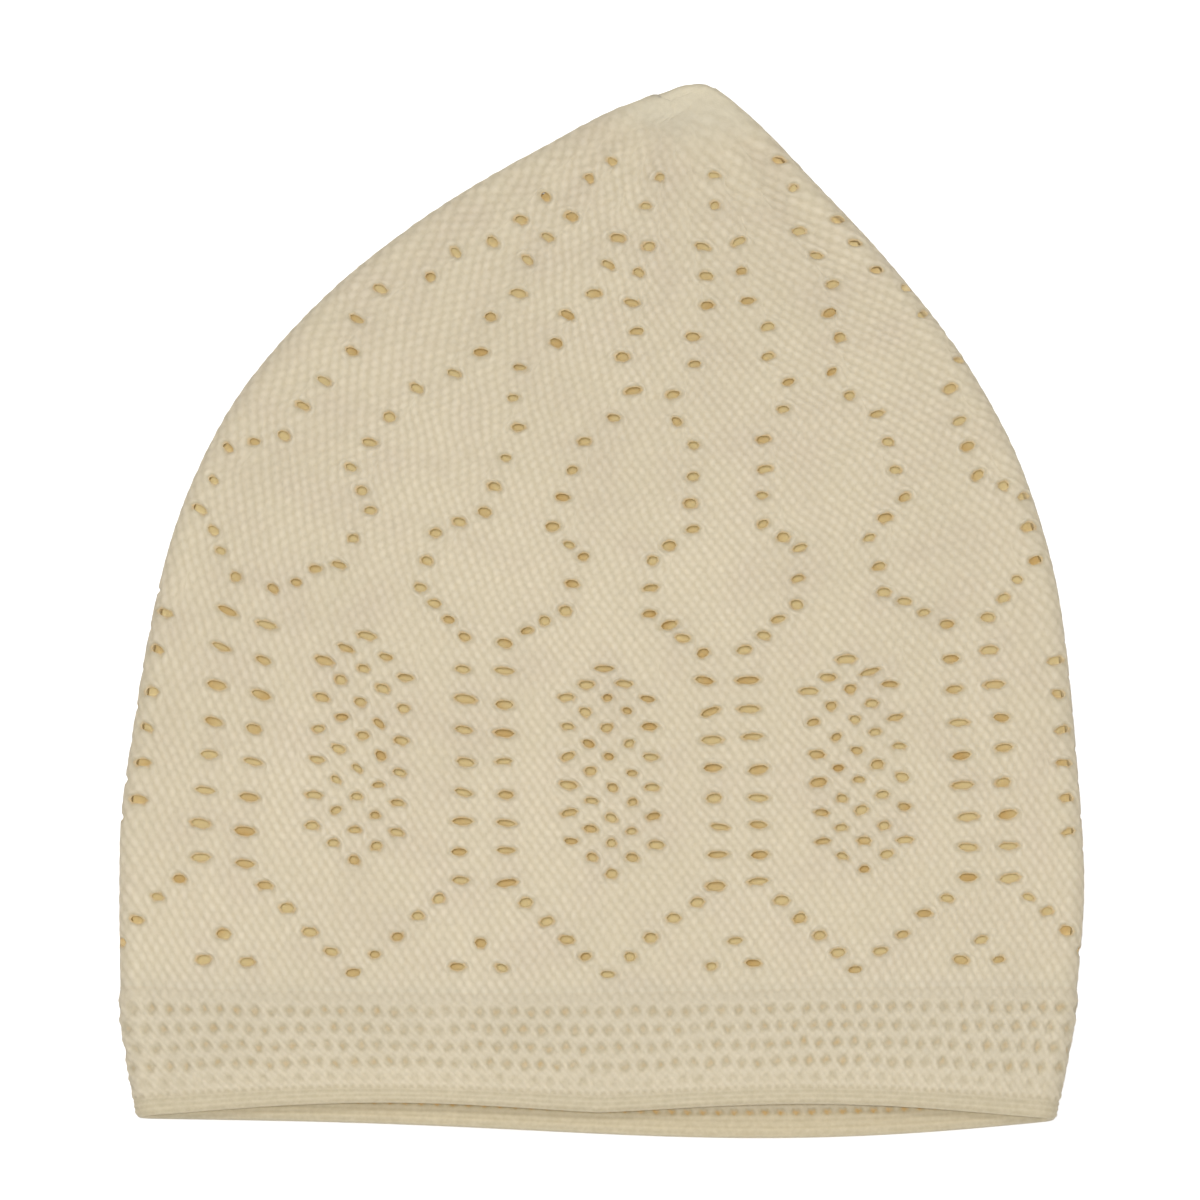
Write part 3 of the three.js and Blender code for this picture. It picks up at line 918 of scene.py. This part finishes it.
def hem_band():
    """The band in two pieces: its fine part over the front and the folds, and the rest behind."""
    skin = Skin()
    rows, offsets = band_profile()
    row_grid, column_grid = np.meshgrid(rows, band_columns(), indexing="ij")
    unit_grid = FIRST_UNIT + column_grid * UNITS_ROUND / MESHES_ROUND
    offset = np.broadcast_to(offsets[:, None], row_grid.shape)
    point, out = fabric_frame(unit_grid, row_grid)
    inside = offset < 0
    side = np.sign(offset)

    # The net is drawn less open in some places than in others, and ends at the turned edge,
    # which is smooth but for its ribs.
    net_column = np.where(inside, column_grid + INNER_MESH_SHIFT, column_grid)
    depth = mesh_relief(net_column, row_grid)
    past, groove, rib = turned_edge(column_grid, row_grid, inside)
    smooth = np.clip(past / EDGE_START_ROWS, 0, 1)
    depth = depth * np.clip(-past / NET_END_ROWS, 0, 1)
    depth = depth * np.clip(0.92 + 0.07 * slow_noise(unit_grid, row_grid, 9, 5), 0.7, 1.1)
    yarn_course = (row_grid - FIRST_MESH_ROW) / MESH_ROW_SPACING * YARN_COURSES
    yarn = stitch_relief(column_grid * 2, yarn_course, MESH_PITCH / 2, YARN_COURSE)
    wall = np.abs(offset) - MESH_DEPTH * depth * np.where(inside, INNER_MESH_DEPTH, 1.0)
    wall = wall - np.where(inside, GROOVE_DEPTHS[1], GROOVE_DEPTHS[0]) * groove
    wall = wall + YARN_HEIGHT * (yarn - 0.6) * (1 - smooth)
    wall = wall + RIB_HEIGHT * rib * smooth - RIB_HEIGHT * smooth
    # The shade is painted: paler on the yarns, darker in the dimples, in the groove of the linking
    # and in the hollows between the edge's ribs.
    shade = BAND_SHADE + YARN_SHADE * yarn * (1 - smooth) * (1 - 0.7 * depth)
    shade = shade + DIMPLE_SHADE * depth
    shade = shade - np.where(inside, GROOVE_SHADES[1], GROOVE_SHADES[0]) * groove
    shade = shade + smooth * (RIB_SHADE * rib - RIB_SHADE)

    # The plain knit runs on into the band and thickens to the double welt.
    wale = (unit_grid - FIRST_UNIT) * WALES_PER_REPEAT / UNITS_PER_REPEAT
    plain = stitch_relief(wale, (row_grid - LAST_RING_ROW) * COURSES_PER_ROW, WALE, COURSE)
    welt = eased((row_grid - BAND_TOP_ROW) / WELT_ROWS)
    wall = knit_face(plain) * (1 - welt) + wall * welt
    # The plain knit keeps the body's painted shade at the foot of its loops.
    shade = (FOOT_SHADE + LOOP_SHADE * plain) * (1 - welt) + shade * welt
    surface = point + out * (side * wall)[..., None]
    surface[..., 2] = np.maximum(surface[..., 2], 0.0)
    # The inside of the band takes a little of the inner face's warm painted shade.
    numbers = skin.add_points(surface, shade, np.where(inside, 0.05, 0.0))

    # The top edge turns in under the body, behind a line of points of its own.
    ends = surface[[0, -1]]
    sunk = ends - out[[0, -1]] * (0.4 * side[[0, -1]])[..., None]
    sunk_numbers = skin.add_points(sunk, 0.2, 0.0)
    end_numbers = skin.add_points(ends, shade[[0, -1]], 0.0)
    strip = np.stack([end_numbers[1], sunk_numbers[1], sunk_numbers[0], end_numbers[0]])
    half = np.where(unit_grid[0] < LAST_FINE_UNIT, 0, 1)
    for part in (numbers, strip):
        faces = grid_faces(np.concatenate([part, part[:, :1]], axis=1))
        skin.add_faces(faces, np.broadcast_to(half, faces.shape[:2]).ravel())
    skin.finish()
    return skin


# -------- materials

def linear(red, green, blue):
    """A screen colour of 0 to 255 as the linear colour that a shader takes."""
    def channel(value):
        value = value / 255
        return value / 12.92 if value <= 0.04045 else ((value + 0.055) / 1.055) ** 2.4
    return (channel(red), channel(green), channel(blue), 1.0)


def knit_material(name, high, low, deep, inner, inner_deep_shade, translucency):
    """Cotton yarn: paler on the tops of the loops, with a warmer painted shade between them and on
    the inner face.
    """
    material = bpy.data.materials.new(name)
    material.use_nodes = True
    nodes, links = material.node_tree.nodes, material.node_tree.links
    nodes.clear()

    def node(kind, **settings):
        made = nodes.new(kind)
        for key, value in settings.items():
            setattr(made, key, value)
        return made

    def mix_colours(factor, first, second):
        mix = node("ShaderNodeMix", data_type="RGBA")
        if isinstance(factor, float):
            mix.inputs["Factor"].default_value = factor
        else:
            links.new(factor, mix.inputs["Factor"])
        for socket, value in ((mix.inputs[6], first), (mix.inputs[7], second)):
            if isinstance(value, tuple):
                socket.default_value = value
            else:
                links.new(value, socket)
        return mix.outputs[2]

    def noise(scale, detail, roughness=0.5):
        made = node("ShaderNodeTexNoise")
        made.inputs["Scale"].default_value = scale
        made.inputs["Detail"].default_value = detail
        made.inputs["Roughness"].default_value = roughness
        links.new(place, made.inputs["Vector"])
        return made.outputs["Fac"]

    def mapped(value, from_first, from_last, to_last=1.0):
        made = node("ShaderNodeMapRange", clamp=True)
        made.inputs["From Min"].default_value = from_first
        made.inputs["From Max"].default_value = from_last
        made.inputs["To Max"].default_value = to_last
        links.new(value, made.inputs["Value"])
        return made.outputs["Result"]

    place = node("ShaderNodeTexCoord").outputs["Object"]
    relief = node("ShaderNodeAttribute", attribute_name="relief").outputs["Fac"]
    inside = node("ShaderNodeAttribute", attribute_name="inside").outputs["Fac"]

    # Tops of the loops, and painted shade in the gaps between them, darkest where the relief falls
    # below zero; soft blotches and fine flecks.
    colour = mix_colours(mapped(relief, 0.0, 0.85), low, high)
    colour = mix_colours(mapped(relief, 0.0, -0.8), colour, deep)
    colour = mix_colours(mapped(noise(45, 3), 0.3, 0.7, 0.22), colour, low)
    colour = mix_colours(mapped(noise(900, 2), 0.35, 0.75, 0.35), colour, high)
    # The inner face carries a warm painted shade, deeper in some places than in others.
    painted_inner_shade = mix_colours(mapped(noise(110, 1), 0.45, 0.7, 0.75), inner, inner_deep_shade)
    through = mix_colours(0.2, colour, inner)
    colour = mix_colours(inside, colour, painted_inner_shade)

    bump = node("ShaderNodeBump")
    bump.inputs["Strength"].default_value = 0.55
    bump.inputs["Distance"].default_value = 0.00012
    links.new(noise(4200, 3, 0.6), bump.inputs["Height"])

    cotton = node("ShaderNodeBsdfPrincipled")
    cotton.inputs["Roughness"].default_value = 0.92
    cotton.inputs["Specular IOR Level"].default_value = 0.25
    cotton.inputs["Sheen Weight"].default_value = 0.25
    cotton.inputs["Sheen Roughness"].default_value = 0.5
    cotton.inputs["Sheen Tint"].default_value = (1.0, 0.98, 0.94, 1.0)
    links.new(colour, cotton.inputs["Base Color"])
    links.new(bump.outputs["Normal"], cotton.inputs["Normal"])
    glow = node("ShaderNodeBsdfTranslucent")
    links.new(through, glow.inputs["Color"])
    links.new(bump.outputs["Normal"], glow.inputs["Normal"])
    blend = node("ShaderNodeMixShader")
    blend.inputs["Fac"].default_value = translucency
    links.new(cotton.outputs["BSDF"], blend.inputs[1])
    links.new(glow.outputs["BSDF"], blend.inputs[2])
    output = node("ShaderNodeOutputMaterial")
    links.new(blend.outputs["Shader"], output.inputs["Surface"])
    return material


# Colours of the tops of the loops, of the painted shade between them and deep in the gaps, and of
# the warm painted shade on the inner face.
KNIT_HIGH = linear(239, 233, 216)
KNIT_LOW = linear(203, 196, 173)
BAND_HIGH = linear(240, 232, 213)
BAND_LOW = linear(203, 194, 169)
# The colour deep in the gaps is a painted shade.
KNIT_GAP_SHADE = linear(218, 180, 112)
# The inner face's colours are a warm painted shade, standing in for the light inside the cap.
INNER_SHADE_COLOURS = (linear(255, 236, 182), linear(226, 184, 112))

TRANSLUCENCY = 0.48

openwork = knit_material(
    "openwork_knit", KNIT_HIGH, KNIT_LOW, KNIT_GAP_SHADE, *INNER_SHADE_COLOURS, TRANSLUCENCY
)
band_knit = knit_material("band_knit", BAND_HIGH, BAND_LOW, KNIT_GAP_SHADE, *INNER_SHADE_COLOURS, TRANSLUCENCY)

# -------- the pieces

body_skin = knitted_body()
total = 0
for repeat in range(REPEATS):
    name = f"knit_repeat_{repeat + 1}"
    total += body_skin.make(name, repeat, openwork, "crown_body", "openwork_knit")
band_skin = hem_band()
for number, name in enumerate(("hem_band_front", "hem_band_back")):
    total += band_skin.make(name, number, band_knit, "hem_band", "band_knit")
print(f"all: {total} triangles")


# -------- floor, light and camera

def floor():
    half = 3.0
    mesh = bpy.data.meshes.new("floor")
    corners = [(-half, -half, 0), (half, -half, 0), (half, half, 0), (-half, half, 0)]
    mesh.from_pydata(corners, [], [(0, 1, 2, 3)])
    material = bpy.data.materials.new("pale_floor")
    material.use_nodes = True
    shader = material.node_tree.nodes["Principled BSDF"]
    shader.inputs["Base Color"].default_value = (0.93, 0.93, 0.935, 1.0)
    shader.inputs["Roughness"].default_value = 0.9
    shader.inputs["Specular IOR Level"].default_value = 0.1
    mesh.materials.append(material)
    obj = bpy.data.objects.new("floor", mesh)
    bpy.context.scene.collection.objects.link(obj)


def area_light(name, place, target, size, power):
    light = bpy.data.lights.new(name, "AREA")
    light.shape = "SQUARE"
    light.size = size
    light.energy = power
    obj = bpy.data.objects.new(name, light)
    bpy.context.scene.collection.objects.link(obj)
    obj.location = place
    obj.rotation_euler = (Vector(target) - Vector(place)).to_track_quat("-Z", "Y").to_euler()


def world_light(strength):
    world = bpy.data.worlds.new("soft_light")
    world.use_nodes = True
    background = world.node_tree.nodes["Background"]
    background.inputs["Color"].default_value = (1.0, 1.0, 1.0, 1.0)
    background.inputs["Strength"].default_value = strength
    bpy.context.scene.world = world


def camera():
    """Looks down on the cap from the hem's side, nearly straight down."""
    elevation = math.radians(80)
    distance = 1.5
    frame_width = 0.2617
    picture_rise = 0.00218
    target = Vector((-0.0001, -0.0014, 0.006))
    away = Vector((0, -math.cos(elevation), math.sin(elevation)))
    upwards = Vector((0, math.sin(elevation), math.cos(elevation)))
    data = bpy.data.cameras.new("camera")
    data.sensor_width = 36
    data.lens = data.sensor_width * distance / frame_width
    data.clip_end = 20
    obj = bpy.data.objects.new("camera", data)
    bpy.context.scene.collection.objects.link(obj)
    aim = target + upwards * picture_rise
    basis = Matrix((Vector((1, 0, 0)), upwards, away)).transposed().to_4x4()
    obj.matrix_world = Matrix.Translation(aim + away * distance) @ basis
    bpy.context.scene.camera = obj


floor()
world_light(0.32)
# The small key light stands close to the camera, so that it reaches into the eyelets.
area_light("key", (-0.01, -0.248, 1.56), (0, 0, 0), 0.11, 20.2)
area_light("overhead", (-0.12, 0.08, 1.7), (0, 0, 0), 0.14, 8)
camera()
bpy.context.scene.view_settings.view_transform = "Standard"
